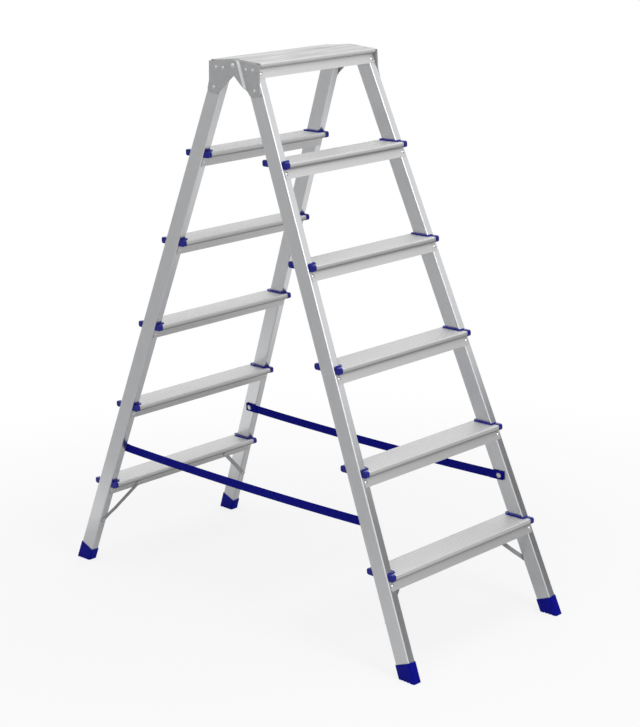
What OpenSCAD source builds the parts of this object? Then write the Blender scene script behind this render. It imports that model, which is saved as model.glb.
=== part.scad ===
// Double-sided step ladder: two equal sections that lean on each other and fold on riveted hinge plates.
// The floor is at z = 0 and the ladder is wide along x. Its sections stand at -y (front) and +y (back).
// Every piece is drawn for the right side of the front section and mirrored to its other places.

/* [Stance] */
// Height of the lowest tread above the floor
first_step = 220; // [190:1:260]
// Height from one tread to the next
rise = 210; // [190:1:240]
// Height from the highest tread to the ridge of the platform
top_rise = 212; // [190:1:240]
// Lean of each section from the vertical, in degrees
lean = 21.7; // [19:0.1:24]
// Outward splay of each stile in its section, in degrees
splay = 3; // [1:0.1:4]
// Clear width between the stiles at the height of the hinge
clear_width = 323; // [290:1:400]

/* [Stiles] */
// Size of the stile tube from front to back
stile_depth = 40; // [36:0.5:46]
// Size of the stile tube across the ladder
stile_width = 20; // [18:0.5:24]
// Wall of the stile tube
stile_wall = 1.5; // [1.2:0.1:2]
// Outer corner radius of the stile tube
stile_corner = 2.5; // [2.2:0.1:4]
// Distance from the hinge axis to the stile, square to the section
stile_offset = 21; // [20:0.5:26]

/* [Treads] */
// Reach of a tread's front nose past the stile
nose_front = 17; // [14:0.5:20]
// Reach of a tread's rear nose past the stile
nose_rear = 14; // [11:0.5:15]
// Height of a tread's hollow noses
nose_height = 13; // [11:0.5:14]
// Radius of a nose's edges
nose_radius = 4; // [2.5:0.5:4.5]
// Wall of the tread and platform extrusions
tread_wall = 1.5; // [1.2:0.1:2]
// Height of a tread from its top to the lower edge of its webs
tread_height = 34; // [31:0.5:42]
// Height of the grip ribs on a tread
rib_height = 0.4; // [0.3:0.1:0.8]
// Width of a grip rib
rib_width = 2; // [1:0.1:2.5]
// Spacing of the grip ribs
rib_pitch = 4; // [3:0.5:6]
// Run of the noses past the stile's inner face
nose_lap = 9; // [7:0.5:11]
// Run of the webs past the stile's inner face
web_lap = 17; // [16:0.5:17.5]
// Distance of the web rivets from the stile's inner face
web_rivet_in = 10; // [8:0.5:11]
// Depth of the web rivets below the tread top
web_rivet_drop = 24; // [23:0.5:26]

/* [Platform] */
// Slope of each half of the platform, in degrees
top_slope = 5; // [2:0.5:6]
// Height of the platform's nose
top_nose_height = 10.5; // [9:0.5:12]
// Depth of the platform's front web below the ridge
top_height = 38; // [36:0.5:43]
// Depth of the platform's rear web below the ridge
top_rear_height = 28; // [24:0.5:32]
// Height of the lip along the ridge
ridge_lip = 4; // [3:0.5:5]
// Gap between the two halves of the platform
ridge_gap = 0.6; // [0.4:0.1:1]
// Depth of the platform's rivets below the ridge
top_rivet_drop = 30; // [27:0.5:31]

/* [Hinge] */
// Depth of the hinge axis below the ridge
pivot_drop = 15; // [13:0.5:16]
// Thickness of the hinge plates
plate_t = 2.5; // [2:0.1:3]
// Depth of the notch between the plates below the hinge axis
notch_drop = 19; // [18:0.5:22]
// Distance of the front edge of a plate from the middle of the ladder
plate_front = 80; // [77:0.5:81]
// Reach of a plate down its stile from the hinge axis
plate_reach = 88; // [85:0.5:100]
// Cut of a plate's lower corners
plate_corner = 6; // [3:0.5:9]
// Distance of a plate's bend from the hinge axis, square to the section
bend_offset = 17; // [16.5:0.5:18]
// Run of a plate's bend
bend_run = 4; // [3:0.5:4.5]
// Spacing of the two upper rivets of a plate
plate_rivet_pitch = 20; // [18:0.5:22]
// Depth of the upper rivets of a plate below the hinge axis, along the stile
plate_rivet_upper = 25; // [24:0.5:30]
// Depth of the lower rivet of a plate below the hinge axis, along the stile
plate_rivet_lower = 72; // [66:0.5:76]
// Radius of the pivot rivet
pivot_r = 4; // [3:0.1:4.5]
// Radius of the pivot rivet's heads
pivot_head_r = 6; // [5.5:0.5:7]
// Height of the pivot rivet's heads
pivot_head_h = 2.5; // [2:0.1:3]
// Radius of the hinge washers
washer_r = 9; // [8:0.5:10]
// Thickness of the hinge washers
washer_t = 1; // [0.8:0.1:1.5]

/* [End caps] */
// Width of a cap's strip along the stile
strip_w = 4; // [3.5:0.5:6]
// Height of a cap's strip above the tread
strip_h = 3.5; // [2.5:0.5:4.5]
// Width of a cap's legs across the noses
leg_w = 4; // [3.5:0.5:6]
// Radius of the corners of a cap's strip
strip_round = 3; // [1:0.5:3]
// Reach of a cap's knob past the nose
knob_reach = 2; // [1:0.5:4]
// Distance of a knob's end from the stile's outer face
knob_back = 2.5; // [0:0.5:4]
// Rise of a cap's knobs above the tread
knob_rise = 1.5; // [1:0.5:2.5]
// Radius of a knob's edges
knob_radius = 5; // [3:0.5:5.5]
// Run of a cap's plugs into the noses
plug_run = 14; // [8:1:20]

/* [Feet] */
// Height of a foot along the stile
foot_height = 37; // [34:1:50]
// Wall of a foot around the stile
foot_wall = 2; // [1.5:0.1:3]
// Thickness of the sole under the stile
foot_sole = 6; // [4:0.5:10]
// Depth of the grooves across the sole
groove_depth = 1.5; // [1:0.1:2]
// Width of the grooves across the sole
groove_width = 3; // [2:0.1:4]
// Spacing of the grooves across the sole
groove_pitch = 9; // [8:0.5:12]

/* [Braces] */
// Width of a brace
brace_w = 10; // [9:0.5:11]
// Thickness of a brace
brace_t = 2; // [1.5:0.1:2.5]
// Height of a brace's lower rivet above the floor
brace_low = 114; // [100:1:125]
// Distance of a brace's upper rivet from the stile's inner face
brace_in = 74; // [60:1:95]
// Length of a brace past its rivets
brace_end = 7; // [6:0.5:8]

/* [Straps] */
// Width of a strap
strap_w = 20; // [18:0.5:26]
// Thickness of the strap webbing
strap_t = 1.6; // [1.2:0.1:2]
// Height of the strap rivets above the floor
strap_z = 312; // [290:1:340]
// Sag of a strap in the middle
strap_sag = 6; // [0:0.5:12]
// Length of a strap past its rivet
strap_end = 12; // [10:0.5:14]
// Distance of a strap's rivet behind the middle of the stile
strap_back = 5; // [1:0.5:9]
// Length of the folded end of a strap
strap_fold = 38; // [30:1:50]
// Radius of a strap rivet's head
strap_head_r = 6; // [5:0.5:7]

/* [Rivets] */
// Radius of the rivets
rivet_r = 2.4; // [2:0.1:2.5]
// Radius of the rivet heads
rivet_head_r = 4.2; // [3.8:0.1:4.5]
// Height of the rivet heads
rivet_head_h = 1.6; // [1.2:0.1:2]
// Radius of the set end of a rivet
rivet_set_r = 3.2; // [3:0.1:3.5]
// Height of the set end of a rivet
rivet_set_h = 2.5; // [2:0.1:3]

/* [Clearances] */
// Gap between faces that are riveted together
seat_gap = 0.05; // [0.02:0.01:0.1]
// Gap around plastic pieces and at cut ends
fit_gap = 0.3; // [0.2:0.05:0.5]
// Radial clearance of rivets and the pivot in their holes
hole_fit = 0.05; // [0.02:0.01:0.08]
// Gap between the hinge plates and the washer
side_gap = 0.1; // [0.05:0.05:0.2]

/* [Hidden] */
$fn = 48;
tread_total = 5;
TREADS = [1 : tread_total];
SECTIONS = ["front", "back"];
SIDES = ["left", "right"];
alu = "#c9cbcc";
steel = "#9a9c9e";
blue = "#1c1c8c";
far = 2000;
top_z = first_step + (tread_total - 1) * rise + top_rise;
pivot_z = top_z - pivot_drop;
front_v = stile_offset + stile_depth;
rear_v = stile_offset;
mid_v = stile_offset + stile_depth / 2;
strap_v = mid_v - strap_back;
lap_r = pivot_drop * cos(top_slope) - tread_wall;
web_t = tread_wall + seat_gap;
// The plates lean with their stiles, so heads and washers that are square to the axis need room
head_gap = side_gap + pivot_head_r * tan(splay);
washer_gap = side_gap + washer_r * tan(splay);
front_lift = plate_t + washer_t + 2 * washer_gap;
strap_x = inner_x(rear_v, strap_z + strap_w / 2) - fit_gap;
strap_y = -face_y(strap_v, strap_z);
stile_end = (pivot_z + sin(lean) * rear_v - foot_sole) / cos(lean) / cos(splay);
foot_top = stile_z(mid_v, 0) + foot_height;

CORNERS = [for (s = SECTIONS, h = SIDES) str(s, "_", h)];
function corner_nodes(piece) = [for (c = CORNERS) str(c, "_", piece)];
function pair_nodes(piece, list) = [for (n = list) str(n, "_", piece)];

// Height of the top of tread k
function tread_z(k) = first_step + (k - 1) * rise;
// Place in depth of a stile face that is v from the hinge axis, at height z
function face_y(v, z) = -tan(lean) * (pivot_z - z) - v / cos(lean);
// Distance of a stile's inner face from the middle of the ladder, at height z
function inner_x(v, z) = clear_width / 2 + tan(splay) * (pivot_z - z + sin(lean) * v) / cos(lean);
// Distance from the middle of the ladder to a sheet on the stile's outer face, at the hinge axis
function sheet_x(out) = clear_width / 2 + (stile_width + out) / cos(splay);
// Place along the stile of a point at height z
function stile_z(v, z) = -(pivot_z - z + sin(lean) * v) / cos(lean) / cos(splay);
// Point of a section's own plane, as [depth towards the stile, run down the stile]
function section_point(y, z) = [
  -cos(lean) * y + sin(lean) * (z - pivot_z),
  -sin(lean) * y - cos(lean) * (z - pivot_z)
];
// Height of the platform's top at depth y of the front half
function platform_z(y) = top_z + tan(top_slope) * y;
// End of a tread's top, which meets the stile's inner face
function tread_end(k) = inner_x(rear_v, tread_z(k)) - fit_gap;

module mirror_if(on, axis) {
  if (on) mirror(axis) children();
  else children();
}
module in_section(section) mirror_if(section == "back", [0, 1, 0]) children();
module on_side(side) mirror_if(side == "left", [1, 0, 0]) children();
module at_corner(section, side) in_section(section) on_side(side) children();
module both_sides() for (side = SIDES) on_side(side) children();

// Frame of the front section: z runs up the section from the hinge axis, -y points forwards
module section_frame() translate([0, 0, pivot_z]) rotate([-lean, 0, 0]) children();
// Frame of the right stile: x = 0 is its inner face
module stile_frame() section_frame()
  translate([clear_width / 2, 0, 0]) rotate([0, -splay, 0]) children();
// Extrudes a shape drawn in depth and height across the ladder
module across(x0, x1) translate([x0, 0, 0]) rotate([90, 0, 90]) linear_extrude(x1 - x0) children();

module rounded_rect(size, r) {
  translate([r, 0]) square([size.x - 2 * r, size.y]);
  translate([0, r]) square([size.x, size.y - 2 * r]);
  for (x = [r, size.x - r], y = [r, size.y - r]) translate([x, y]) circle(r);
}

// Removes everything above a plane that lies drop under the platform's top
module under_platform(drop) {
  difference() {
    children();
    translate([0, 0, top_z - drop]) rotate([top_slope, 0, 0])
      translate([-far, -far / 2, 0]) cube([2 * far, far, far]);
  }
}

// A rivet along z, its head on the plane z = 0 and its set end under the grip
module rivet(grip, head_r = rivet_head_r) {
  dome_r = (head_r * head_r + rivet_head_h * rivet_head_h) / (2 * rivet_head_h);
  rotate_extrude() intersection() {
    translate([0, rivet_head_h - dome_r]) circle(dome_r, $fn = 96);
    square([head_r, rivet_head_h]);
  }
  translate([0, 0, -grip - rivet_set_h])
    cylinder(r = rivet_r, h = grip + rivet_set_h + rivet_head_h / 2);
  translate([0, 0, -grip - rivet_set_h - seat_gap]) cylinder(r = rivet_set_r, h = rivet_set_h);
}
module rivet_hole() translate([0, 0, -stile_width / 2])
  cylinder(r = rivet_r + hole_fit, h = stile_width);

// Places on the right stile where a tread's or the platform's webs are riveted
module at_front_web(z) stile_frame()
  translate([web_rivet_in, -front_v - web_t, stile_z(front_v, z)]) rotate([90, 0, 0]) children();
module at_rear_web(z) stile_frame()
  translate([web_rivet_in, -rear_v + web_t, stile_z(rear_v, z)]) rotate([-90, 0, 0]) children();
module at_tread_rivets(k) {
  at_front_web(tread_z(k) - web_rivet_drop) children();
  at_rear_web(tread_z(k) - web_rivet_drop) children();
}
module at_platform_rivets() at_front_web(top_z - top_rivet_drop) children();
module at_plate_rivets() stile_frame() translate([stile_width + plate_t, 0, 0]) {
  for (s = [-1, 1])
    translate([0, -mid_v + s * plate_rivet_pitch / 2, -plate_rivet_upper + s * upper_step])
      rotate([0, 90, 0]) children();
  translate([0, -mid_v, -plate_rivet_lower]) rotate([0, 90, 0]) children();
}
// The upper rivets of a plate lie level, so one is further down the leaning stile
upper_step = plate_rivet_pitch / 2 * tan(lean);
strap_grip = 2 * strap_t + 2 * fit_gap + strap_w * tan(splay);
module at_strap_rivet() stile_frame()
  translate([-strap_grip, -strap_v, stile_z(strap_v, strap_z)]) rotate([0, -90, 0]) children();

// Ends of the right brace in the section's plane, as [x, run down the section]
brace_foot = [inner_x(rear_v, brace_low) + stile_width / 2, -stile_z(rear_v, brace_low) * cos(splay)];
brace_head_z = tread_z(1) - web_rivet_drop;
brace_head = [inner_x(rear_v, tread_z(1)) - brace_in, -stile_z(rear_v, brace_head_z) * cos(splay)];
brace_run = norm(brace_foot - brace_head);
brace_slope = atan2(brace_foot.y - brace_head.y, brace_foot.x - brace_head.x);
module brace_frame() section_frame()
  translate([brace_foot.x, -rear_v, -brace_foot.y]) rotate([0, 180 + brace_slope, 0]) children();
module at_brace_foot() brace_frame()
  translate([0, seat_gap + brace_t, 0]) rotate([-90, 0, 0]) children();
module at_brace_head() brace_frame()
  translate([brace_run, web_t + seat_gap + brace_t, 0]) rotate([-90, 0, 0]) children();

module stile_tube() translate([0, -front_v, -stile_end]) linear_extrude(stile_end + stile_depth)
  difference() {
    size = [stile_width, stile_depth];
    wall = [stile_wall, stile_wall];
    rounded_rect(size, stile_corner);
    translate(wall) rounded_rect(size - 2 * wall, stile_corner - stile_wall);
  }
module stile_holes() {
  for (k = TREADS) at_tread_rivets(k) rivet_hole();
  at_platform_rivets() rivet_hole();
  at_plate_rivets() rivet_hole();
  at_strap_rivet() rivet_hole();
  at_brace_foot() rivet_hole();
}
// Tube drilled for every rivet, its top cut to the slope of the platform
module stile() color(alu) under_platform(tread_wall + fit_gap) difference() {
  stile_frame() stile_tube();
  stile_holes();
}

// Rounded band that stands out from a stile face: towards = -1 for the front, 1 for the rear
module band(face_v, towards, high, low, tip, r, gap) {
  inner = tip - towards * r;
  polygon([
    [face_y(face_v, high) + towards * gap, high], [inner, high],
    [inner, low], [face_y(face_v, low) + towards * gap, low]
  ]);
  polygon([[inner, high - r], [tip, high - r], [tip, low + r], [inner, low + r]]);
  for (z = [high - r, low + r]) translate([inner, z]) circle(r);
}
// Upright wall of an extrusion that lies against a stile face
module web(face_v, towards, high, low) {
  slant_t = tread_wall / cos(lean);
  near_gap = towards * seat_gap / cos(lean);
  polygon([
    [face_y(face_v, high) + near_gap, high], [face_y(face_v, low) + near_gap, low],
    [face_y(face_v, low) + near_gap + towards * slant_t, low],
    [face_y(face_v, high) + near_gap + towards * slant_t, high]
  ]);
}
// The wall at the root of a nose is thinner than the web, and lies inside it
root_inset = tread_wall / 6;
module nose_hollow(face_v, towards, z, height, tip, inset, gap)
  band(face_v, towards, z - inset, z - height + inset, tip - towards * inset, nose_radius - inset, gap);
module nose(face_v, towards, z, height, tip) difference() {
  band(face_v, towards, z, z - height, tip, nose_radius, (seat_gap + root_inset) / cos(lean));
  nose_hollow(face_v, towards, z, height, tip, tread_wall, (web_t - root_inset) / cos(lean));
}
function front_tip(z) = face_y(front_v, z) - nose_front;
function rear_tip(z) = face_y(rear_v, z) + nose_rear;

// The ribs stand on the top of the noses too
function nose_top(z) = z - rib_height;
bare_nose_height = nose_height - rib_height;
module tread_noses(z) {
  nose(front_v, -1, nose_top(z), bare_nose_height, front_tip(z));
  nose(rear_v, 1, nose_top(z), bare_nose_height, rear_tip(z));
}
// Webs of a tread from height high down to its lower edge
module tread_webs(z, high) {
  web(front_v, -1, high, z - tread_height);
  web(rear_v, 1, high, z - tread_height);
}
module tread_plate(z) {
  plate_z = nose_top(z) - tread_wall;
  y0 = face_y(front_v, z) - tread_wall;
  y1 = face_y(rear_v, plate_z) + tread_wall;
  translate([y0, plate_z]) square([y1 - y0, tread_wall]);
}
// Grip ribs from nose to nose
module tread_ribs(z) {
  room = rear_tip(z) - front_tip(z) - 2 * nose_radius - rib_width;
  gaps = floor(room / rib_pitch);
  first = (front_tip(z) + rear_tip(z) - gaps * rib_pitch - rib_width) / 2;
  for (i = [0 : gaps])
    translate([first + i * rib_pitch, nose_top(z) - tread_wall / 2])
      square([rib_width, rib_height + tread_wall / 2]);
}
module tread(k) {
  z = tread_z(k);
  end = tread_end(k);
  color(alu) difference() {
    union() {
      across(-end, end) {
        tread_noses(z);
        tread_webs(z, z - tread_wall);
        tread_plate(z);
        tread_ribs(z);
      }
      across(-end - fit_gap - nose_lap, end + fit_gap + nose_lap) tread_noses(z);
      across(-end - fit_gap - web_lap, end + fit_gap + web_lap) tread_webs(z, z - nose_height - fit_gap);
    }
    both_sides() at_tread_rivets(k) rivet_hole();
    if (k == 1) both_sides() at_brace_head() rivet_hole();
  }
}

// One side of a cap: a knob on the end of the nose and a plug inside the nose
module cap_side(z, nose_end, face_v, towards, tip) {
  out = nose_end - nose_lap + stile_width - knob_back;
  plug_gap = fit_gap / 2;
  across(nose_end + plug_gap, out) band(face_v, towards, z + knob_rise, z - nose_height,
    tip + towards * knob_reach, knob_radius, fit_gap);
  across(nose_end - plug_run, nose_end + fit_gap) nose_hollow(face_v, towards, nose_top(z),
    bare_nose_height, tip, tread_wall + plug_gap, web_t / cos(lean) + plug_gap);
}
// Strip along three faces of the right stile, which joins the two sides of a cap
module cap_strip(z, end, nose_end) {
  y0 = face_y(front_v, z) - fit_gap - leg_w;
  y1 = face_y(rear_v, z + strip_h) + fit_gap + leg_w;
  size = [nose_end + leg_w - end + strip_w, y1 - y0];
  translate([end - strip_w, y0, z]) linear_extrude(strip_h) difference() {
    rounded_rect(size, strip_round);
    translate([strip_w, leg_w]) square([size.x, size.y - 2 * leg_w]);
  }
}
// Plastic cap of a tread's right end
module cap(k) {
  z = tread_z(k);
  end = tread_end(k);
  nose_end = end + fit_gap + nose_lap;
  color(blue) {
    cap_strip(z, end, nose_end);
    cap_side(z, nose_end, front_v, -1, front_tip(z));
    cap_side(z, nose_end, rear_v, 1, rear_tip(z));
  }
}

// Half of the platform: it lies on the cut ends of both stiles, clear of the leaning hinge plates
platform_end = sheet_x(0) - pivot_drop * tan(splay) - fit_gap;
platform_front = face_y(front_v, platform_z(face_y(front_v, top_z)));
platform_rear = face_y(rear_v, top_z);
module platform_bar() across(-platform_end, platform_end) children();
module platform_plate() {
  ridge = -ridge_gap / 2;
  front = platform_front - tread_wall;
  polygon([
    [ridge, top_z], [front, platform_z(front)], [front, platform_z(front) - tread_wall],
    [ridge - tread_wall, top_z - tread_wall], [ridge - tread_wall, top_z - ridge_lip],
    [ridge, top_z - ridge_lip]
  ]);
}
module platform() color(alu) difference() {
  nose_z = platform_z(platform_front);
  union() {
    platform_bar() platform_plate();
    platform_bar() nose(front_v, -1, nose_z, top_nose_height, platform_front - nose_front);
    platform_bar() web(front_v, -1, nose_z - tread_wall / 2, top_z - top_height);
    platform_bar() web(rear_v, 1, platform_z(platform_rear) - tread_wall / 2, top_z - top_rear_height);
  }
  both_sides() at_platform_rivets() rivet_hole();
}

// Lower edge of a plate, which rises from the stile to the notch on the middle of the ladder
notch_tip = section_point(0, pivot_z - notch_drop);
notch_foot = [rear_v, plate_reach - stile_depth / 2];
// Outline of a plate, as depth towards the stile and run down it from the hinge axis
module plate_outline() {
  crest = section_point(-pivot_drop * sin(top_slope), pivot_z + pivot_drop * cos(top_slope));
  corner = section_point(-plate_front, top_z);
  waist_z = pivot_z + (front_v - plate_front * cos(lean)) / sin(lean);
  waist = section_point(-plate_front, waist_z);
  points = [
    [0, 0], crest, [bend_inner, crest.y], [bend_offset, -stile_depth], [corner.x, -stile_depth],
    corner, waist, [front_v - stile_corner, plate_reach - plate_corner],
    [front_v - stile_corner - plate_corner, plate_reach],
    [rear_v + stile_corner + plate_corner, plate_reach - plate_corner],
    [rear_v + stile_corner, plate_reach - 2 * plate_corner], notch_foot, notch_tip, [-lap_r, 0]
  ];
  circle(lap_r);
  polygon([for (p = points) -p]);
}
// Sheet of a plate seen from its end: it steps outwards by lift between the stile and the hinge axis
bend_inner = bend_offset - bend_run;
module plate_sheet(lift) {
  knee = plate_t * tan(atan2(lift, bend_run) / 2);
  polygon([
    [0, -2 * front_v], [0, -bend_offset], [lift, -bend_inner], [lift, front_v],
    [lift + plate_t, front_v], [lift + plate_t, -bend_inner - knee], [plate_t, -bend_offset - knee],
    [plate_t, -2 * front_v]
  ]);
}
module hinge_plate(lift) color(steel) difference() {
  under_platform(tread_wall) stile_frame() translate([stile_width, 0, -stile_width * tan(splay)])
    intersection() {
      translate([0, 0, -2 * plate_reach]) linear_extrude(4 * plate_reach) plate_sheet(lift);
      across(-plate_t, lift + 2 * plate_t) plate_outline();
    }
  section_frame() rotate([0, 90, 0]) cylinder(r = pivot_r + hole_fit, h = far);
  at_plate_rivets() rivet_hole();
}

// Rivet that both plates of a side turn on
module pivot_rivet() color(steel) section_frame() rotate([0, 90, 0]) {
  set_x = sheet_x(0) - head_gap - pivot_head_h;
  head_x = sheet_x(front_lift + plate_t) + head_gap;
  dome_r = (pivot_head_r * pivot_head_r + pivot_head_h * pivot_head_h) / (2 * pivot_head_h);
  translate([0, 0, head_x]) rotate_extrude() intersection() {
    translate([0, pivot_head_h - dome_r]) circle(dome_r, $fn = 96);
    square([pivot_head_r, pivot_head_h]);
  }
  translate([0, 0, set_x]) cylinder(r = pivot_head_r, h = pivot_head_h);
  translate([0, 0, set_x + pivot_head_h / 2]) cylinder(r = pivot_r, h = head_x - set_x);
}
module hinge_washer() color(steel) section_frame() rotate([0, 90, 0])
  translate([0, 0, sheet_x(plate_t) + washer_gap]) difference() {
    cylinder(r = washer_r, h = washer_t);
    translate([0, 0, -washer_t]) cylinder(r = pivot_r + hole_fit, h = 3 * washer_t);
  }

// Shoe over the end of a stile, its sole cut level with the floor and grooved
module foot() color(blue) difference() {
  stile_frame() difference() {
    translate([-foot_wall, -front_v - foot_wall, foot_top - 2 * foot_height])
      linear_extrude(2 * foot_height) rounded_rect(
        [stile_width + 2 * foot_wall, stile_depth + 2 * foot_wall], stile_corner + foot_wall
      );
    translate([-seat_gap, -front_v - seat_gap, -stile_end - seat_gap]) linear_extrude(stile_end)
      rounded_rect([stile_width + 2 * seat_gap, stile_depth + 2 * seat_gap], stile_corner);
  }
  translate([-far, -far, -far]) cube([2 * far, 2 * far, far]);
  for (i = [-1 : 1])
    translate([0, face_y(mid_v, 0) + i * groove_pitch - groove_width / 2, -groove_depth])
      cube([far, groove_width, 2 * groove_depth]);
}

// Flat bar on the rear faces of the stile and of the lowest tread's rear web
module brace() color(alu) difference() {
  bend_from = (stile_width + brace_w) / 2 / cos(brace_slope);
  bend_to = bend_from + stile_width;
  lower = seat_gap;
  upper = web_t + seat_gap;
  end = brace_run + brace_end;
  brace_frame() linear_extrude(brace_w, center = true) polygon([
    [-brace_end, lower], [bend_from, lower], [bend_to, upper], [end, upper],
    [end, upper + brace_t], [bend_to, upper + brace_t],
    [bend_from, lower + brace_t], [-brace_end, lower + brace_t]
  ]);
  at_brace_foot() rivet_hole();
  at_brace_head() rivet_hole();
}

// Webbing that holds the sections together, folded double over its rivets
strap_steps = 24;
strap_out = strap_y + strap_end;
function strap_mid(y) = strap_z - strap_sag * (1 - y * y / strap_y / strap_y);
module strap_band(y0, y1) {
  ys = [for (i = [0 : strap_steps]) y0 + (y1 - y0) * i / strap_steps];
  polygon(concat(
    [for (y = ys) [y, strap_mid(y) - strap_w / 2]],
    [for (i = [strap_steps : -1 : 0]) [ys[i], strap_mid(ys[i]) + strap_w / 2]]
  ));
}
module strap() color(blue) difference() {
  union() {
    across(strap_x - strap_t, strap_x) strap_band(-strap_out, strap_out);
    for (section = SECTIONS) in_section(section)
      across(strap_x - 2 * strap_t, strap_x - strap_t) strap_band(-strap_out, -strap_out + strap_fold);
  }
  for (section = SECTIONS) in_section(section) at_strap_rivet() rivet_hole();
}

// Rivets of one section
module section_rivets() color(alu) both_sides() {
  for (k = TREADS) at_tread_rivets(k) rivet(web_t + stile_wall);
  at_platform_rivets() rivet(web_t + stile_wall);
  at_brace_foot() rivet(brace_t + seat_gap + stile_wall);
  at_brace_head() rivet(web_t + brace_t);
}
module plate_rivets() color(alu) both_sides() at_plate_rivets() rivet(plate_t + stile_wall);
module strap_rivets() color(alu) both_sides() at_strap_rivet()
  rivet(strap_grip + stile_wall, strap_head_r);

for (s = SECTIONS, h = SIDES) {
  c = str(s, "_", h);
  at_corner(s, h) stile();
  lift = s == "front" ? front_lift : 0;
  at_corner(s, h) hinge_plate(lift);
  at_corner(s, h) foot();
  at_corner(s, h) brace();
}
for (s = SECTIONS, k = TREADS) in_section(s) tread(k);
for (s = SECTIONS, k = TREADS, h = SIDES)
  at_corner(s, h) cap(k);
for (s = SECTIONS) {
  in_section(s) platform();
  in_section(s) section_rivets();
  in_section(s) plate_rivets();
  in_section(s) strap_rivets();
}
for (h = SIDES) {
  on_side(h) pivot_rivet();
  on_side(h) hinge_washer();
  on_side(h) strap();
}
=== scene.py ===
"""Dresses the double-sided step ladder: finishes for every piece, woven straps, and a plain studio."""

import math

import bmesh
import bpy
from bpy.props import FloatProperty, FloatVectorProperty, PointerProperty
from mathutils import Matrix, Vector


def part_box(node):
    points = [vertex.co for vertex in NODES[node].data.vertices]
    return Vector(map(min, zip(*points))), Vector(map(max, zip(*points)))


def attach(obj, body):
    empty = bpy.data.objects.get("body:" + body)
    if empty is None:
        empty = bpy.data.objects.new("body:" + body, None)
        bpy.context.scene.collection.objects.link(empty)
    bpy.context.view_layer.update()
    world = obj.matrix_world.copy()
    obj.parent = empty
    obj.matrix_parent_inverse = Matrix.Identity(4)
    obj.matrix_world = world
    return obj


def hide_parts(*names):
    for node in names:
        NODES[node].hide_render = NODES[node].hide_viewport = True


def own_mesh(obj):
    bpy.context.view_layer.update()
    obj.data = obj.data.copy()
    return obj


bl_info = {
    "name": "Step ladder dresser",
    "version": (1, 0, 0),
    "blender": (4, 5, 0),
    "location": "View3D > Sidebar > Ladder",
    "description": "Finishes, straps and studio for a folding double-sided step ladder",
    "category": "Object",
}

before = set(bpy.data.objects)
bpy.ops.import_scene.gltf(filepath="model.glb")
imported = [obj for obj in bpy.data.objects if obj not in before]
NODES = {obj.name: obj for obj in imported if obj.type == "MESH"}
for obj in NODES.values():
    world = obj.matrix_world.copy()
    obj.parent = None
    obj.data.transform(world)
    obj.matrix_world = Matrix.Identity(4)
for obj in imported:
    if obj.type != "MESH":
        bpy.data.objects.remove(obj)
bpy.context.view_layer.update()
MM = 0.001

# How the stiles lean and splay, and how the treads follow each other, as in the part's source.
LEAN = math.radians(21.7)
SPLAY = math.radians(3)
TREADS = 5
RISE = 210 * MM
# Height of the crease under the lowest tread's nose, where painted shade darkens the metal.
CREASE = 209 * MM

# The photograph's camera: where it stands, its yaw, pitch and roll in degrees, and its lens in millimetres
# for a sensor of that length along the picture's longer side.
CAMERA_PLACE = (-2.9619, -2.99907, 1.71785)
CAMERA_TURN = (45.19, -15.51, -1.36)
CAMERA_LENS = 92.96
CAMERA_SENSOR = 36

# Sockets of a Mix node that mixes colours.
MIX_FACTOR, MIX_LOW, MIX_HIGH, MIX_RESULT = 0, 6, 7, 2
METAL = {"Metallic": 1.0}
WHITE = (1, 1, 1, 1)
COLOUR = {"size": 3, "min": 0, "max": 1, "subtype": "COLOR"}

# A wave texture of scale 1 turns by this many radians in a metre.
WAVE_TURN = 20
# A face looks upwards where the upward part of its normal is more than this.
FACING_UP = 0.9
# Drawing streaks run for about a third of a metre, and stand this proud.
STREAKS_PER_METRE = 3.0
STREAK_HEIGHT = 0.03 * MM
STREAK_STRENGTH = 0.2

# How finely a strap's fold is made, and how close an edge lies to the end that it belongs to.
TURN_STEPS = 6
FOLD_STEPS = 6
NEAR = 1e-6


def linear(hex_colour):
    """An sRGB hex colour as linear red, green and blue."""
    channels = [int(hex_colour[i : i + 2], 16) / 255 for i in (1, 3, 5)]
    return tuple(c / 12.92 if c <= 0.04045 else ((c + 0.055) / 1.055) ** 2.4 for c in channels)


class AluminiumFinish(bpy.types.PropertyGroup):
    """Drawn and rolled aluminium of the stiles, treads, platform and braces."""

    stile_colour: FloatVectorProperty(
        name="Stiles", description="Colour of the stile tubes", default=linear("#d8d9db"), **COLOUR
    )
    tread_colour: FloatVectorProperty(
        name="Treads", description="Colour of the noses and webs of the treads and the platform",
        default=linear("#d0d0d0"), **COLOUR
    )
    # Painted light: the tops are painted lighter than the noses and webs of the same metal.
    lit_top_colour: FloatVectorProperty(
        name="Tread tops", description="Colour of the ribbed tops of the treads",
        default=linear("#e8e8e8"), **COLOUR
    )
    # Painted shade: the platform's top is painted darker than its sides.
    shaded_platform_colour: FloatVectorProperty(
        name="Platform top", description="Colour of the shaded top of the platform",
        default=linear("#c4c4c4"), **COLOUR
    )
    brace_colour: FloatVectorProperty(
        name="Braces", description="Colour of the flat braces", default=linear("#b2b3b4"), **COLOUR
    )
    stile_roughness: FloatProperty(
        name="Stile roughness", description="How matt the stiles are",
        default=0.3, min=0.1, max=0.9, subtype="FACTOR",
    )
    tread_roughness: FloatProperty(
        name="Tread roughness", description="How matt the treads and the platform are",
        default=0.55, min=0.1, max=0.9, subtype="FACTOR",
    )
    streak: FloatProperty(
        name="Streak width", description="Width of the drawing streaks along the extrusions",
        default=2.5 * MM, min=0.5 * MM, max=20 * MM, unit="LENGTH",
    )
    # Spacing of the bands of painted shade that stand for the notches.
    grip: FloatProperty(
        name="Grip", description="Spacing of the notches across the tread tops",
        default=8 * MM, min=2 * MM, max=10 * MM, unit="LENGTH",
    )
    # Painted shade: how dark the crease under a tread's nose is painted.
    crease_shade: FloatProperty(
        name="Crease_shade", description="How much grime darkens the crease under a tread's nose",
        default=0.45, min=0, max=1, subtype="FACTOR",
    )


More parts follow.
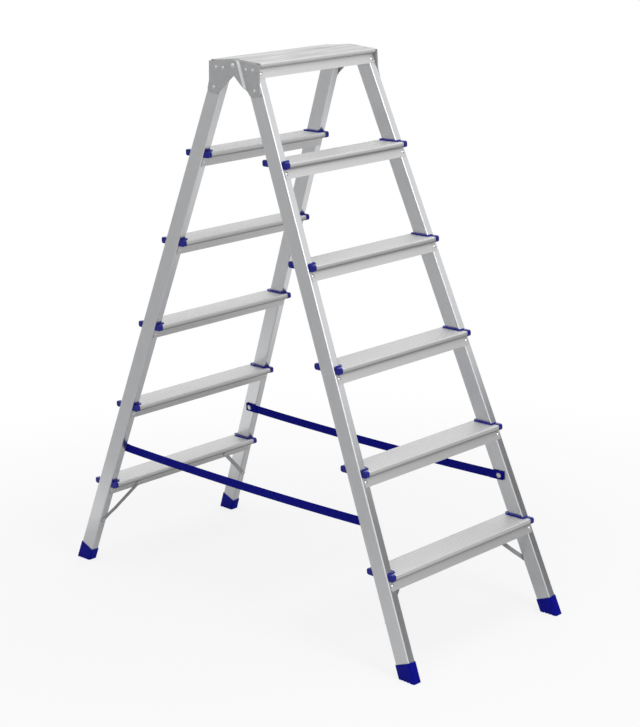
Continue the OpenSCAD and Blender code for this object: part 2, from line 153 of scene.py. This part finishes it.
class SteelFinish(bpy.types.PropertyGroup):
    """Zinc-plated steel of the hinge, and the bright rivets."""

    plate_colour: FloatVectorProperty(
        name="Plates", description="Colour of the hinge plates and washers",
        default=linear("#bdbebf"), **COLOUR
    )
    rivet_colour: FloatVectorProperty(
        name="Rivets", description="Colour of the rivets and pivots", default=linear("#d8d8d8"), **COLOUR
    )


class PlasticFinish(bpy.types.PropertyGroup):
    """Moulded blue polypropylene of the end caps and feet."""

    cap_colour: FloatVectorProperty(
        name="End caps", description="Colour of the tread end caps", default=linear("#222490"), **COLOUR
    )
    foot_colour: FloatVectorProperty(
        name="Feet", description="Colour of the feet", default=linear("#060b90"), **COLOUR
    )


class StrapSizes(bpy.types.PropertyGroup):
    """Woven straps between the two sections."""

    colour: FloatVectorProperty(
        name="Webbing", description="Colour of the webbing", default=linear("#080d90"), **COLOUR
    )
    width: FloatProperty(
        name="Width", description="Width of the webbing",
        default=20 * MM, min=10 * MM, max=30 * MM, unit="LENGTH",
    )
    thickness: FloatProperty(
        name="Thickness", description="Thickness of the webbing",
        default=1.5 * MM, min=0.8 * MM, max=1.6 * MM, unit="LENGTH",
    )
    layer: FloatProperty(
        name="Layer", description="Distance between the two layers at a folded end",
        default=1.6 * MM, min=1 * MM, max=3 * MM, unit="LENGTH",
    )
    sag: FloatProperty(
        name="Sag", description="Sag in the middle of a strap",
        default=6 * MM, min=0, max=20 * MM, unit="LENGTH",
    )
    end: FloatProperty(
        name="End", description="Length of a strap past its rivet",
        default=12 * MM, min=8 * MM, max=20 * MM, unit="LENGTH",
    )
    fold: FloatProperty(
        name="Fold", description="Length of the end that is folded back under the rivet",
        default=38 * MM, min=20 * MM, max=60 * MM, unit="LENGTH",
    )
    rib: FloatProperty(
        name="Rib", description="Spacing of the weave's ribs",
        default=2 * MM, min=1 * MM, max=5 * MM, unit="LENGTH",
    )


class StudioLight(bpy.types.PropertyGroup):
    """Floor, lamps and grey cards around the ladder."""

    floor_colour: FloatVectorProperty(
        name="Floor", description="Colour of the floor", default=linear("#f4f4f4"), **COLOUR
    )
    ambient: FloatProperty(
        name="Ambient", description="Light that comes from everywhere", default=0.4, min=0, max=2
    )
    overhead: FloatProperty(
        name="Overhead", description="Power of the softbox above the ladder",
        default=45, min=0, max=400, unit="POWER",
    )
    key: FloatProperty(
        name="Key", description="Power of the softbox in front of the ladder",
        default=45, min=0, max=400, unit="POWER",
    )
    behind: FloatProperty(
        name="Behind", description="Power of the softbox behind the ladder",
        default=12, min=0, max=400, unit="POWER",
    )
    flag: FloatProperty(
        name="Flag", description="Grey of the card that stands in front of the ladder on the right",
        default=0.3, min=0, max=1, subtype="FACTOR",
    )
    card: FloatProperty(
        name="Card", description="Grey of the card that stands on the ladder's left",
        default=0.95, min=0, max=1, subtype="FACTOR",
    )
    # Painted reflection: a grey mat, seen only in the metal, stands in for the shaded floor under the ladder.
    mat: FloatProperty(
        name="Shade_mat", description="Grey of the mat that lies under the ladder",
        default=0.82, min=0, max=1, subtype="FACTOR",
    )


def opaque(colour):
    """A colour property with full alpha, as the shader's sockets take it."""
    return (*colour, 1.0)


def darker(colour, share):
    """A colour property darkened to a share of itself."""
    return opaque([c * share for c in colour])


def add(tree, kind, inputs=None, **settings):
    """Adds a node with its settings and inputs: another node's output is linked, anything else is set."""
    made = tree.nodes.new(kind)
    for key, value in settings.items():
        setattr(made, key, value)
    for key, value in (inputs or {}).items():
        if isinstance(value, bpy.types.NodeSocket):
            tree.links.new(value, made.inputs[key])
        else:
            made.inputs[key].default_value = value
    return made


def blank_material(name):
    """A material with no nodes in its tree yet."""
    made = bpy.data.materials.new(name)
    made.use_nodes = True
    made.node_tree.nodes.clear()
    return made


def surfaced(made, constants, tint, rough, relief=None):
    """Ends a material with its shader, and gives it back.

    Constants are the shader's plain values. Tint and rough are each a pattern, and the two colours or
    values that it runs between. Relief is a pattern, its real height and its strength.
    """
    tree = made.node_tree
    pattern, low, high = tint
    colour = add(
        tree, "ShaderNodeMix", {MIX_FACTOR: pattern, MIX_LOW: low, MIX_HIGH: high}, data_type="RGBA"
    )
    pattern, low, high = rough
    roughness = add(tree, "ShaderNodeMapRange", {"Value": pattern, "To Min": low, "To Max": high})
    inputs = {
        **constants, "Base Color": colour.outputs[MIX_RESULT], "Roughness": roughness.outputs["Result"],
    }
    if relief:
        pattern, height, strength = relief
        bump = add(tree, "ShaderNodeBump", {"Height": pattern, "Distance": height, "Strength": strength})
        inputs["Normal"] = bump.outputs["Normal"]
    shader = add(tree, "ShaderNodeBsdfPrincipled", inputs)
    add(tree, "ShaderNodeOutputMaterial", {"Surface": shader.outputs["BSDF"]})
    return made


def streaks(tree, place, scale):
    """Noise drawn out into streaks: scale is how many of them there are to a metre on each axis."""
    stretched = add(tree, "ShaderNodeVectorMath", {0: place, 1: scale}, operation="MULTIPLY")
    return add(
        tree, "ShaderNodeTexNoise",
        {"Vector": stretched.outputs["Vector"], "Scale": 1.0, "Detail": 3.0, "Roughness": 0.6},
    ).outputs["Fac"]


def band_scale(spacing):
    """The scale that sets a wave texture's bands that far apart."""
    return math.tau / WAVE_TURN / spacing


def faces_up(tree, where):
    """1 on faces that look upwards."""
    up = add(tree, "ShaderNodeSeparateXYZ", {0: where.outputs["Normal"]}).outputs["Z"]
    return add(tree, "ShaderNodeMath", {0: up, 1: FACING_UP}, operation="GREATER_THAN").outputs[0]


def stile_aluminium(finish):
    """Extruded aluminium tube in mill finish, for the stiles."""
    # Mill finish is a satin grey, with drawing streaks down the tube. Real streaks are well under 1 mm
    # wide, and are drawn wider so that they show.
    made = blank_material("mill_finish_aluminium_stile")
    tree = made.node_tree
    place = add(tree, "ShaderNodeTexCoord").outputs["Object"]
    # The four stiles mirror each other, so one quarter's lean and splay serve them all.
    quarter = add(tree, "ShaderNodeVectorMath", {0: place}, operation="ABSOLUTE").outputs["Vector"]
    run = add(tree, "ShaderNodeMapping", {"Vector": quarter, "Rotation": (-LEAN, SPLAY, 0)}).outputs["Vector"]
    fine = 1 / finish.streak
    lines = streaks(tree, run, (fine, fine, STREAKS_PER_METRE))
    return surfaced(
        made, METAL,
        tint=(lines, darker(finish.stile_colour, share=0.88), opaque(finish.stile_colour)),
        rough=(lines, finish.stile_roughness - 0.05, finish.stile_roughness + 0.05),
        relief=(lines, STREAK_HEIGHT, STREAK_STRENGTH),
    )


def extrusion(finish, name):
    """Starts an extruded aluminium finish: its material, places, streaked colour, roughness and relief."""
    made = blank_material(name)
    tree = made.node_tree
    where = add(tree, "ShaderNodeTexCoord")
    fine = 1 / finish.streak
    lines = streaks(tree, where.outputs["Object"], (STREAKS_PER_METRE, fine, fine))
    sides = add(
        tree, "ShaderNodeMix",
        {
            MIX_FACTOR: lines,
            MIX_LOW: darker(finish.tread_colour, share=0.92),
            MIX_HIGH: opaque(finish.tread_colour),
        },
        data_type="RGBA",
    ).outputs[MIX_RESULT]
    satin = {
        "rough": (lines, finish.tread_roughness - 0.05, finish.tread_roughness + 0.07),
        "relief": (lines, STREAK_HEIGHT, STREAK_STRENGTH),
    }
    return made, where, sides, satin


def tread_aluminium(finish):
    """Extruded aluminium in mill finish, for the treads."""
    # The notched ribs on top are painted bright, as painted light, the noses and webs are satin, and painted
    # shade darkens the crease between.
    made, where, sides, satin = extrusion(finish, "mill_finish_aluminium_tread")
    tree = made.node_tree
    # Real notches are about 4 mm apart, and the shade in them is painted as darker bands across the tops.
    # They are drawn further apart, because they would run together.
    notches = add(
        tree, "ShaderNodeTexWave",
        {
            "Vector": where.outputs["Object"],
            "Scale": band_scale(finish.grip),
            "Distortion": 0.6,
            "Detail": 1.0,
        },
        wave_type="BANDS", bands_direction="X",
    ).outputs["Fac"]
    top = add(
        tree, "ShaderNodeMix",
        {
            MIX_FACTOR: notches,
            MIX_LOW: darker(finish.lit_top_colour, share=0.68),
            MIX_HIGH: opaque(finish.lit_top_colour),
        },
        data_type="RGBA",
    ).outputs[MIX_RESULT]
    # Painted light: faces that look upwards take the lighter top colour.
    metal = add(
        tree, "ShaderNodeMix",
        {MIX_FACTOR: faces_up(tree, where), MIX_LOW: sides, MIX_HIGH: top},
        data_type="RGBA",
    ).outputs[MIX_RESULT]
    # The treads are a rise apart, so the height of the lowest crease serves them all.
    height = add(tree, "ShaderNodeSeparateXYZ", {0: where.outputs["Object"]}).outputs["Z"]
    above = add(tree, "ShaderNodeMath", {0: height, 1: CREASE}, operation="SUBTRACT").outputs[0]
    nearest = add(
        tree, "ShaderNodeMath", {0: above, 1: RISE / 2, 2: -RISE / 2}, operation="WRAP"
    ).outputs[0]
    away = add(tree, "ShaderNodeMath", {0: nearest}, operation="ABSOLUTE").outputs[0]
    # Painted shade: the metal is darkened towards near black within a few millimetres of each crease.
    crease = add(
        tree, "ShaderNodeMapRange",
        {"Value": away, "From Min": 1 * MM, "From Max": 4 * MM, "To Min": finish.crease_shade, "To Max": 0.0},
        interpolation_type="SMOOTHSTEP",
    ).outputs["Result"]
    return surfaced(made, METAL, tint=(crease, metal, darker(finish.tread_colour, share=0.05)), **satin)


def platform_aluminium(finish):
    """Extruded aluminium in mill finish, for the platform."""
    # Its top is painted darker than its sides, as painted shade, in long streaks along the platform.
    made, where, sides, satin = extrusion(finish, "mill_finish_aluminium_platform")
    tree = made.node_tree
    long, wide = 1 / (120 * MM), 1 / (12 * MM)
    top_streaks = streaks(tree, where.outputs["Object"], (long, wide, wide))
    spread = add(tree, "ShaderNodeMapRange", {"Value": top_streaks, "From Min": 0.35, "From Max": 0.65})
    top = add(
        tree, "ShaderNodeMix",
        {
            MIX_FACTOR: spread.outputs["Result"],
            MIX_LOW: darker(finish.shaded_platform_colour, share=0.66),
            MIX_HIGH: opaque(finish.shaded_platform_colour),
        },
        data_type="RGBA",
    ).outputs[MIX_RESULT]
    return surfaced(made, METAL, tint=(faces_up(tree, where), sides, top), **satin)


def brace_aluminium(finish):
    """Rolled aluminium bar as it comes from the mill, for the braces."""
    # Rolling leaves a satin grey with a faint mottle.
    made = blank_material("rolled_aluminium_bar")
    tree = made.node_tree
    place = add(tree, "ShaderNodeTexCoord").outputs["Object"]
    mottle = add(
        tree, "ShaderNodeTexNoise", {"Vector": place, "Scale": 1 / (4 * MM), "Detail": 2.0}
    ).outputs["Fac"]
    return surfaced(
        made, METAL,
        tint=(mottle, darker(finish.brace_colour, share=0.85), opaque(finish.brace_colour)),
        rough=(mottle, finish.stile_roughness, finish.stile_roughness + 0.1),
    )


def zinc_steel(name, colour, low, high):
    """Zinc-plated steel, with its roughness between low and high."""
    # The plating shows a soft spangle. It is dull grey on pressed sheet, and bright on a turned pivot.
    made = blank_material(name)
    tree = made.node_tree
    place = add(tree, "ShaderNodeTexCoord").outputs["Object"]
    spangle = add(
        tree, "ShaderNodeTexVoronoi", {"Vector": place, "Scale": 1 / (5 * MM), "Randomness": 1.0}
    ).outputs["Distance"]
    grain = add(
        tree, "ShaderNodeTexNoise", {"Vector": place, "Scale": 1 / (1.2 * MM), "Detail": 3.0}
    ).outputs["Fac"]
    return surfaced(
        made, METAL,
        tint=(spangle, opaque(colour), darker(colour, share=0.88)),
        rough=(grain, low, high),
        relief=(grain, 0.05 * MM, 0.15),
    )


def rivet_aluminium(finish):
    """Drawn aluminium, for the rivets."""
    # A set rivet is brighter and smoother than the extrusions, with faint die marks. They are drawn coarser
    # than they are, so that they show.
    made = blank_material("drawn_aluminium_rivet")
    tree = made.node_tree
    place = add(tree, "ShaderNodeTexCoord").outputs["Object"]
    marks = add(
        tree, "ShaderNodeTexNoise", {"Vector": place, "Scale": 1 / (0.8 * MM), "Detail": 2.0}
    ).outputs["Fac"]
    return surfaced(
        made, METAL,
        tint=(marks, darker(finish.rivet_colour, share=0.85), opaque(finish.rivet_colour)),
        rough=(marks, 0.2, 0.34),
    )


def moulded_plastic(name, colour, shine, low, high):
    """Injection-moulded polypropylene: shine is its specular level, and low and high are its roughness."""
    # Moulding gives an even colour, a low sheen and a fine spark-eroded grain. The grain is drawn coarser
    # than it is, so that it shows.
    made = blank_material(name)
    tree = made.node_tree
    place = add(tree, "ShaderNodeTexCoord").outputs["Object"]
    grain = add(
        tree, "ShaderNodeTexNoise", {"Vector": place, "Scale": 1 / (0.7 * MM), "Detail": 2.0}
    ).outputs["Fac"]
    cloud = add(
        tree, "ShaderNodeTexNoise", {"Vector": place, "Scale": 1 / (14 * MM), "Detail": 1.0}
    ).outputs["Fac"]
    return surfaced(
        made, {"IOR": 1.49, "Specular IOR Level": shine},
        tint=(cloud, darker(colour, share=0.88), opaque(colour)),
        rough=(cloud, low, high),
        relief=(grain, 0.03 * MM, 0.5),
    )


def woven_webbing(sizes):
    """Woven polypropylene webbing, for the straps."""
    # Weaving gives ribs across the strap and yarns along it in a matt blue, and painted shade darkens the
    # blue between them.
    # Real ribs are finer, and are drawn coarser so that they show.
    made = blank_material("woven_polypropylene_webbing")
    tree = made.node_tree
    # The strap's own map holds its length and width in metres.
    weave = add(tree, "ShaderNodeUVMap", uv_map="webbing").outputs["UV"]
    ribs = add(
        tree, "ShaderNodeTexWave",
        {"Vector": weave, "Scale": band_scale(sizes.rib), "Distortion": 0.4, "Detail": 1.0},
        wave_type="BANDS", bands_direction="X",
    ).outputs["Fac"]
    # The yarns lie a quarter further apart than the ribs.
    yarn = 1.25 * sizes.rib
    yarns = add(
        tree, "ShaderNodeTexWave",
        {"Vector": weave, "Scale": band_scale(yarn), "Distortion": 0.3, "Detail": 1.0},
        wave_type="BANDS", bands_direction="Y",
    ).outputs["Fac"]
    cloth = add(tree, "ShaderNodeMath", {0: ribs, 1: yarns}, operation="MULTIPLY").outputs[0]
    return surfaced(
        made, {"Specular IOR Level": 0.06},
        tint=(cloth, darker(sizes.colour, share=0.8), opaque(sizes.colour)),
        rough=(cloth, 0.55, 0.75),
        relief=(cloth, 0.3 * MM, 0.7),
    )


def dress(material, *endings):
    """Gives a material to every CAD node whose name has one of these endings."""
    found = [node for name, node in NODES.items() if name.endswith(endings)]
    if not found:
        raise RuntimeError(f"no node ends with {endings}")
    for node in found:
        node.data.materials.clear()
        node.data.materials.append(material)


class LADDER_OT_stiles(bpy.types.Operator):
    """Finishes the four stile tubes in satin aluminium"""

    bl_idname = "ladder.stiles"
    bl_label = "Stiles"

    def execute(self, context):
        dress(stile_aluminium(context.scene.ladder_aluminium), "_stile")
        return {"FINISHED"}


class LADDER_OT_treads(bpy.types.Operator):
    """Finishes the ribbed treads in satin aluminium"""

    bl_idname = "ladder.treads"
    bl_label = "Treads"

    def execute(self, context):
        endings = [f"_tread_{number}" for number in range(1, TREADS + 1)]
        dress(tread_aluminium(context.scene.ladder_aluminium), *endings)
        return {"FINISHED"}


class LADDER_OT_platform(bpy.types.Operator):
    """Finishes the two halves of the platform"""

    bl_idname = "ladder.platform"
    bl_label = "Platform"

    def execute(self, context):
        dress(platform_aluminium(context.scene.ladder_aluminium), "_platform")
        return {"FINISHED"}


class LADDER_OT_braces(bpy.types.Operator):
    """Finishes the flat braces under the lowest treads"""

    bl_idname = "ladder.braces"
    bl_label = "Braces"

    def execute(self, context):
        dress(brace_aluminium(context.scene.ladder_aluminium), "_brace")
        return {"FINISHED"}


class LADDER_OT_hinges(bpy.types.Operator):
    """Finishes the hinge plates, their washers and the pivots in zinc-plated steel"""

    bl_idname = "ladder.hinges"
    bl_label = "Hinges"

    def execute(self, context):
        finish = context.scene.ladder_steel
        sheet = zinc_steel("zinc_plated_steel_sheet", finish.plate_colour, low=0.55, high=0.68)
        dress(sheet, "_hinge_plate", "_hinge_washer")
        turned = zinc_steel("zinc_plated_steel_pivot", finish.rivet_colour, low=0.25, high=0.4)
        dress(turned, "_pivot_rivet")
        return {"FINISHED"}


class LADDER_OT_rivets(bpy.types.Operator):
    """Finishes the rivets of both sections in bright aluminium"""

    bl_idname = "ladder.rivets"
    bl_label = "Rivets"

    def execute(self, context):
        dress(rivet_aluminium(context.scene.ladder_steel), "_rivets")
        return {"FINISHED"}


class LADDER_OT_caps(bpy.types.Operator):
    """Finishes the end caps of the treads in moulded plastic"""

    bl_idname = "ladder.caps"
    bl_label = "End caps"

    def execute(self, context):
        colour = context.scene.ladder_plastic.cap_colour
        dress(moulded_plastic("moulded_polypropylene_cap", colour, shine=0.2, low=0.28, high=0.38), "_cap")
        return {"FINISHED"}


class LADDER_OT_feet(bpy.types.Operator):
    """Finishes the four feet in moulded plastic"""

    bl_idname = "ladder.feet"
    bl_label = "Feet"

    def execute(self, context):
        colour = context.scene.ladder_plastic.foot_colour
        dress(moulded_plastic("moulded_polypropylene_foot", colour, shine=0.08, low=0.38, high=0.5), "_foot")
        return {"FINISHED"}


def end_edges(bm, y):
    """The edges of a strap's open end at depth y."""
    return [edge for edge in bm.edges if all(abs(vert.co.y - y) < NEAR for vert in edge.verts)]


def turn_under(bm, sizes, inwards, y):
    """Folds a strap's end under: a half turn round the layer gap, and a second layer as long as the fold."""
    towards = math.copysign(1, y)
    turned = bmesh.ops.spin(
        bm, geom=end_edges(bm, y), cent=(inwards * sizes.layer / 2, y, 0), axis=(0, 0, 1),
        angle=-inwards * towards * math.pi, steps=TURN_STEPS, use_merge=False,
    )["geom_last"]
    edges = [part for part in turned if isinstance(part, bmesh.types.BMEdge)]
    for _ in range(FOLD_STEPS):
        more = bmesh.ops.extrude_edge_only(bm, edges=edges)["geom"]
        verts = [part for part in more if isinstance(part, bmesh.types.BMVert)]
        bmesh.ops.translate(bm, verts=verts, vec=(0, -towards * sizes.fold / FOLD_STEPS, 0))
        edges = [part for part in more if isinstance(part, bmesh.types.BMEdge)]


def strap_mesh(side, sizes):
    """One strap as a sheet in its place, and its cut length."""
    low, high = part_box(f"{side}_strap")
    outwards = 1 if side == "right" else -1
    outer = high.x if side == "right" else low.x
    x = outer - outwards * sizes.layer / 2
    reach = high.y - sizes.layer / 2
    rivet_y = high.y - sizes.end
    rivet_z = low.z + sizes.width / 2 + sizes.sag
    bm = bmesh.new()
    bmesh.ops.create_grid(bm, x_segments=60, y_segments=4, size=1)
    bmesh.ops.scale(bm, verts=bm.verts, vec=(reach, sizes.width / 2, 1))
    bmesh.ops.rotate(bm, verts=bm.verts, matrix=Matrix.Rotation(math.pi / 2, 3, "X"))
    bmesh.ops.rotate(bm, verts=bm.verts, matrix=Matrix.Rotation(math.pi / 2, 3, "Z"))
    turn_under(bm, sizes, -outwards, reach)
    turn_under(bm, sizes, -outwards, -reach)
    bmesh.ops.recalc_face_normals(bm, faces=bm.faces)
    weave = bm.loops.layers.uv.new("webbing")
    for face in bm.faces:
        for loop in face.loops:
            loop[weave].uv = (loop.vert.co.y, loop.vert.co.z)
    for vert in bm.verts:
        vert.co.z += rivet_z - sizes.sag * (1 - (vert.co.y / rivet_y) ** 2)
    bmesh.ops.translate(bm, verts=bm.verts, vec=(x, 0, 0))
    mesh = bpy.data.meshes.new(f"{side}_webbing")
    bm.to_mesh(mesh)
    bm.free()
    return mesh, 2 * (reach + sizes.fold) + math.pi * sizes.layer


class LADDER_OT_straps(bpy.types.Operator):
    """Makes the woven straps that stop the sections from sliding apart"""

    bl_idname = "ladder.straps"
    bl_label = "Straps"

    def execute(self, context):
        sizes = context.scene.ladder_strap
        material = woven_webbing(sizes)
        for side in ("left", "right"):
            mesh, length = strap_mesh(side, sizes)
            mesh.materials.append(material)
            mesh.shade_smooth()
            strap = bpy.data.objects.new(f"{side}_webbing", mesh)
            context.scene.collection.objects.link(strap)
            body = strap.modifiers.new("thickness", "SOLIDIFY")
            body.thickness = sizes.thickness
            body.offset = 0
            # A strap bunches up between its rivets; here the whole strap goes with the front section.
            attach(strap, "front_section")
            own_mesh(strap)
            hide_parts(f"{side}_strap")
        return {"FINISHED"}


def softbox(name, power, size, place, aim):
    """A soft area lamp of that width and height, turned towards a point."""
    lamp = bpy.data.lights.new(name, "AREA")
    lamp.shape = "RECTANGLE"
    lamp.size, lamp.size_y = size
    lamp.energy = power
    made = bpy.data.objects.new(name, lamp)
    made.location = place
    made.rotation_euler = (Vector(aim) - Vector(place)).to_track_quat("-Z", "Y").to_euler()
    bpy.context.scene.collection.objects.link(made)


def stage_board(name, material, size, place, facing):
    """A flat board of the stage, of that width and height, turned to face a direction."""
    bm = bmesh.new()
    bmesh.ops.create_grid(bm, x_segments=1, y_segments=1, size=0.5)
    bmesh.ops.scale(bm, verts=bm.verts, vec=(*size, 1))
    bmesh.ops.rotate(bm, verts=bm.verts, matrix=Vector(facing).to_track_quat("Z", "Y").to_matrix())
    bmesh.ops.translate(bm, verts=bm.verts, vec=place)
    mesh = bpy.data.meshes.new(name)
    bm.to_mesh(mesh)
    bm.free()
    mesh.materials.append(material)
    board = bpy.data.objects.new(name, mesh)
    bpy.context.scene.collection.objects.link(board)
    return board


def grey_card(name, grey, size, place, facing):
    """A matt grey card that shows only in the ladder's metal."""
    paper = blank_material(f"matt_{name}_board")
    tree = paper.node_tree
    matt = add(tree, "ShaderNodeBsdfPrincipled", {"Base Color": (grey, grey, grey, 1), "Roughness": 1.0})
    add(tree, "ShaderNodeOutputMaterial", {"Surface": matt.outputs["BSDF"]})
    card = stage_board(name, paper, size, place, facing)
    card.visible_camera = False
    card.visible_diffuse = False
    card.visible_shadow = False


def seen_rays(tree):
    """1 for rays that show the background: from the camera, and in metal and through glass."""
    path = add(tree, "ShaderNodeLightPath")
    shown = path.outputs["Is Camera Ray"]
    for name in ("Is Glossy Ray", "Is Transmission Ray"):
        shown = add(tree, "ShaderNodeMath", {0: shown, 1: path.outputs[name]}, operation="MAXIMUM").outputs[0]
    return shown


def white_world(light):
    """A studio that looks white, and lights the ladder with the ambient level."""
    world = bpy.data.worlds.new("white_studio")
    world.use_nodes = True
    tree = world.node_tree
    tree.nodes.clear()
    level = add(
        tree, "ShaderNodeMapRange", {"Value": seen_rays(tree), "To Min": light.ambient, "To Max": 1.0}
    )
    sky = add(tree, "ShaderNodeBackground", {"Color": WHITE, "Strength": level.outputs["Result"]})
    add(tree, "ShaderNodeOutputWorld", {"Surface": sky.outputs["Background"]})
    return world


def floor_paint(light):
    """Matt white paint, for the floor."""
    # It takes the ladder's shadow near it, and runs out to plain white.
    made = blank_material("matt_white_floor_paint")
    tree = made.node_tree
    matt = add(tree, "ShaderNodeBsdfDiffuse", {"Color": opaque(light.floor_colour)})
    glow = add(tree, "ShaderNodeEmission", {"Color": WHITE, "Strength": 1.0})
    place = add(tree, "ShaderNodeTexCoord").outputs["Object"]
    away = add(tree, "ShaderNodeVectorMath", {0: place}, operation="LENGTH").outputs["Value"]
    white = add(
        tree, "ShaderNodeMapRange",
        {"Value": away, "From Min": 0.6, "From Max": 1.8, "To Min": 0.8, "To Max": 1.0},
        interpolation_type="SMOOTHSTEP",
    ).outputs["Result"]
    share = add(tree, "ShaderNodeMath", {0: white, 1: seen_rays(tree)}, operation="MULTIPLY").outputs[0]
    both = add(
        tree, "ShaderNodeMixShader", {0: share, 1: matt.outputs["BSDF"], 2: glow.outputs["Emission"]}
    )
    add(tree, "ShaderNodeOutputMaterial", {"Surface": both.outputs["Shader"]})
    return made


def photo_camera():
    """The camera at the photograph's viewing angle."""
    yaw, pitch, roll = (math.radians(angle) for angle in CAMERA_TURN)
    ahead = Vector((math.sin(yaw) * math.cos(pitch), math.cos(yaw) * math.cos(pitch), math.sin(pitch)))
    level = Vector((math.cos(yaw), -math.sin(yaw), 0))
    upright = level.cross(ahead)
    right = math.cos(roll) * level + math.sin(roll) * upright
    up = math.cos(roll) * upright - math.sin(roll) * level
    eye = bpy.data.cameras.new("camera")
    eye.sensor_width = CAMERA_SENSOR
    eye.lens = CAMERA_LENS
    eye.clip_end = 100
    camera = bpy.data.objects.new("camera", eye)
    turned = Matrix((right, up, -ahead)).transposed().to_4x4()
    camera.matrix_world = Matrix.Translation(CAMERA_PLACE) @ turned
    bpy.context.scene.collection.objects.link(camera)
    return camera


class LADDER_OT_stage(bpy.types.Operator):
    """Sets up the pale floor, the soft lamps, the grey cards and the camera"""

    bl_idname = "ladder.stage"
    bl_label = "Stage"

    def execute(self, context):
        scene = context.scene
        light = scene.ladder_studio
        scene.view_settings.view_transform = "Standard"
        scene.world = white_world(light)
        stage_board("studio_floor", floor_paint(light), size=(28, 28), place=(0, 0, 0), facing=(0, 0, 1))
        softbox("overhead_softbox", light.overhead, size=(3, 3), place=(-0.4, -0.4, 3.6), aim=(0, 0, 0.6))
        softbox("key_softbox", light.key, size=(1.4, 1.4), place=(-0.4, -3.7, 2.9), aim=(0, 0, 0.7))
        softbox("behind_softbox", light.behind, size=(3, 2.2), place=(2.7, 2.8, 1.7), aim=(0, 0, 0.7))
        grey_card("front_flag", light.flag, size=(2.6, 0.85), place=(1.3, -1.3, 0.425), facing=(-1, 1, 0))
        grey_card("side_card", light.card, size=(2.6, 1.4), place=(-0.75, 1.0, 0.7), facing=(1, 0, 0))
        # Painted reflection: the mat gives the metal a shaded floor to mirror under the ladder.
        grey_card("floor_shade_mat", light.mat, size=(1.5, 1.5), place=(0, 0, 0.002), facing=(0, 0, 1))
        scene.camera = photo_camera()
        return {"FINISHED"}


SETTINGS = (
    ("ladder_aluminium", AluminiumFinish, "Aluminium"),
    ("ladder_steel", SteelFinish, "Steel and rivets"),
    ("ladder_plastic", PlasticFinish, "Plastic"),
    ("ladder_strap", StrapSizes, "Straps"),
    ("ladder_studio", StudioLight, "Studio"),
)
STEPS = (
    LADDER_OT_stage, LADDER_OT_straps, LADDER_OT_stiles, LADDER_OT_treads, LADDER_OT_platform,
    LADDER_OT_braces, LADDER_OT_hinges, LADDER_OT_rivets, LADDER_OT_caps, LADDER_OT_feet,
)


class LADDER_PT_dresser(bpy.types.Panel):
    """Lists the ladder's settings and the steps that use them"""

    bl_idname = "LADDER_PT_dresser"
    bl_label = "Step ladder"
    bl_space_type = "VIEW_3D"
    bl_region_type = "UI"
    bl_category = "Ladder"

    def draw(self, context):
        for name, group, label in SETTINGS:
            box = self.layout.box()
            box.label(text=label)
            for key in group.__annotations__:
                box.prop(getattr(context.scene, name), key)
        for step in STEPS:
            self.layout.operator(step.bl_idname)


CLASSES = tuple(group for _, group, _ in SETTINGS) + STEPS + (LADDER_PT_dresser,)


def register():
    """Registers the classes, and gives every scene the settings."""
    for cls in CLASSES:
        bpy.utils.register_class(cls)
    for name, group, _ in SETTINGS:
        setattr(bpy.types.Scene, name, PointerProperty(type=group))


def unregister():
    """Takes the settings and the classes away again."""
    for name, _, _ in SETTINGS:
        delattr(bpy.types.Scene, name)
    for cls in reversed(CLASSES):
        bpy.utils.unregister_class(cls)


def main():
    """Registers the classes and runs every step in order."""
    register()
    bpy.ops.ladder.stage()
    bpy.ops.ladder.straps()
    bpy.ops.ladder.stiles()
    bpy.ops.ladder.treads()
    bpy.ops.ladder.platform()
    bpy.ops.ladder.braces()
    bpy.ops.ladder.hinges()
    bpy.ops.ladder.rivets()
    bpy.ops.ladder.caps()
    bpy.ops.ladder.feet()


if __name__ == "__main__":
    main()
